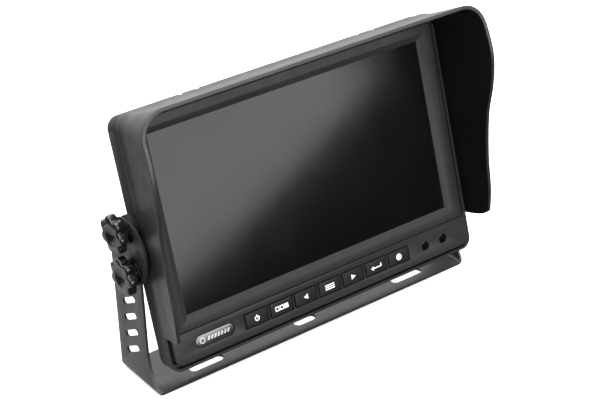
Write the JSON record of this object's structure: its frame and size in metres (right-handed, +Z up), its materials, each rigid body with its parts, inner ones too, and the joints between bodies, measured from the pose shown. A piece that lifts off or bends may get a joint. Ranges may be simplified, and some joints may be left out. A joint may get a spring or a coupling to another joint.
{
  "type": "rear view monitor with sun hood",
  "caption": "Flat dash display for a reversing camera kit, with a slide-on sun hood and a row of keys, hinged in a steel U bracket by side knobs.",
  "frame": {"origin": "centre of the bracket's flat underside", "axes": "+X to the viewer's right along the screen, +Z up from the base, screen facing -Y and leant back 15.8 degrees"},
  "size_m": [0.2024, 0.0637, 0.1486],
  "materials": {
    "bracket_steel": "black powder coat, fine satin texture",
    "case_plastic": "black moulded ABS with a fine spark texture",
    "hood_plastic": "black moulded ABS, satin outside, dull inside",
    "button_plastic": null,
    "screen_glass": "dark hard-coated display glass",
    "dark_lens": "dark polished lens",
    "badge_metal": "brushed plain plate",
    "display_body": "display cell and light guide",
    "plated_steel": "zinc-plated steel",
    "black_screw": "black oxide",
    "board_resin": "green solder mask",
    "switch_plastic": "moulded switch and speaker bodies",
    "ribbon_film": "amber film cable",
    "brass_insert": "turned brass",
    "rubber_parts": "moulded rubber",
    "knob_plastic": "semi-gloss black moulded knob"
  },
  "bodies": {
    "bracket": {"bracket": "bracket_steel"},
    "monitor": {"rear_shell": "case_plastic", "front_shell": "case_plastic", "screen_bezel": "case_plastic", "button_panel": "case_plastic", "lcd_glass": "screen_glass", "ir_window": "dark_lens", "light_sensor_lens": "dark_lens", "badge_plate": "badge_metal", "lcd_module": "display_body", "lcd_tray": "plated_steel", "tray_standoffs": "plated_steel", "tray_screws": "plated_steel", "board_screws": "plated_steel", "card_socket": "plated_steel", "case_screws": "black_screw", "knob_washers": "black_screw", "main_board": "board_resin", "keypad_board": "board_resin", "tact_switches": "switch_plastic", "speaker": "switch_plastic", "display_ribbon": "ribbon_film", "keypad_ribbon": "ribbon_film", "side_inserts": "brass_insert", "friction_washers": "rubber_parts", "lead_grommet": "rubber_parts"},
    "sun_hood": {"sun_hood": "hood_plastic"},
    "knob_upper_left": {"knob_upper_left": "knob_plastic", "knob_stud_upper_left": "plated_steel"},
    "knob_upper_right": {"knob_upper_right": "knob_plastic", "knob_stud_upper_right": "plated_steel"},
    "knob_lower_left": {"knob_lower_left": "knob_plastic", "knob_stud_lower_left": "plated_steel"},
    "knob_lower_right": {"knob_lower_right": "knob_plastic", "knob_stud_lower_right": "plated_steel"},
    "button_power": {"button_power": "button_plastic"},
    "button_mode": {"button_mode": "button_plastic"},
    "button_left": {"button_left": "button_plastic"},
    "button_menu": {"button_menu": "button_plastic"},
    "button_right": {"button_right": "button_plastic"},
    "button_enter": {"button_enter": "button_plastic"},
    "button_record": {"button_record": "button_plastic"}
  },
  "joints": [
    {"name": "tilt", "type": "hinge", "parent": "bracket", "child": "monitor", "pos_m": [0, 0.0016, 0.08192], "axis": [-1, 0, 0], "range_deg": [-20.8, 14.2]},
    {"name": "hood_slide", "type": "slide", "parent": "monitor", "child": "sun_hood", "axis": [0, 0.2723, 0.9622], "range_m": [0, 0.1]},
    {"name": "knob_upper_left_turn", "type": "hinge", "parent": "monitor", "child": "knob_upper_left", "pos_m": [-0.098, 0.0016, 0.08192], "axis": [-1, 0, 0], "continuous": true},
    {"name": "knob_upper_right_turn", "type": "hinge", "parent": "monitor", "child": "knob_upper_right", "pos_m": [0.098, 0.0016, 0.08192], "axis": [1, 0, 0], "continuous": true},
    {"name": "knob_lower_left_turn", "type": "hinge", "parent": "monitor", "child": "knob_lower_left", "pos_m": [-0.098, -0.00384, 0.06268], "axis": [-1, 0, 0], "continuous": true},
    {"name": "knob_lower_right_turn", "type": "hinge", "parent": "monitor", "child": "knob_lower_right", "pos_m": [0.098, -0.00384, 0.06268], "axis": [1, 0, 0], "continuous": true},
    {"name": "button_power_press", "type": "slide", "parent": "monitor", "child": "button_power", "axis": [0, 0.9622, -0.2723], "range_m": [0, 0.0007], "stiffness_N_per_m": 300, "springref_m": -0.0015},
    {"name": "button_mode_press", "type": "slide", "parent": "monitor", "child": "button_mode", "axis": [0, 0.9622, -0.2723], "range_m": [0, 0.0007], "stiffness_N_per_m": 300, "springref_m": -0.0015},
    {"name": "button_left_press", "type": "slide", "parent": "monitor", "child": "button_left", "axis": [0, 0.9622, -0.2723], "range_m": [0, 0.0007], "stiffness_N_per_m": 300, "springref_m": -0.0015},
    {"name": "button_menu_press", "type": "slide", "parent": "monitor", "child": "button_menu", "axis": [0, 0.9622, -0.2723], "range_m": [0, 0.0007], "stiffness_N_per_m": 300, "springref_m": -0.0015},
    {"name": "button_right_press", "type": "slide", "parent": "monitor", "child": "button_right", "axis": [0, 0.9622, -0.2723], "range_m": [0, 0.0007], "stiffness_N_per_m": 300, "springref_m": -0.0015},
    {"name": "button_enter_press", "type": "slide", "parent": "monitor", "child": "button_enter", "axis": [0, 0.9622, -0.2723], "range_m": [0, 0.0007], "stiffness_N_per_m": 300, "springref_m": -0.0015},
    {"name": "button_record_press", "type": "slide", "parent": "monitor", "child": "button_record", "axis": [0, 0.9622, -0.2723], "range_m": [0, 0.0007], "stiffness_N_per_m": 300, "springref_m": -0.0015}
  ]
}
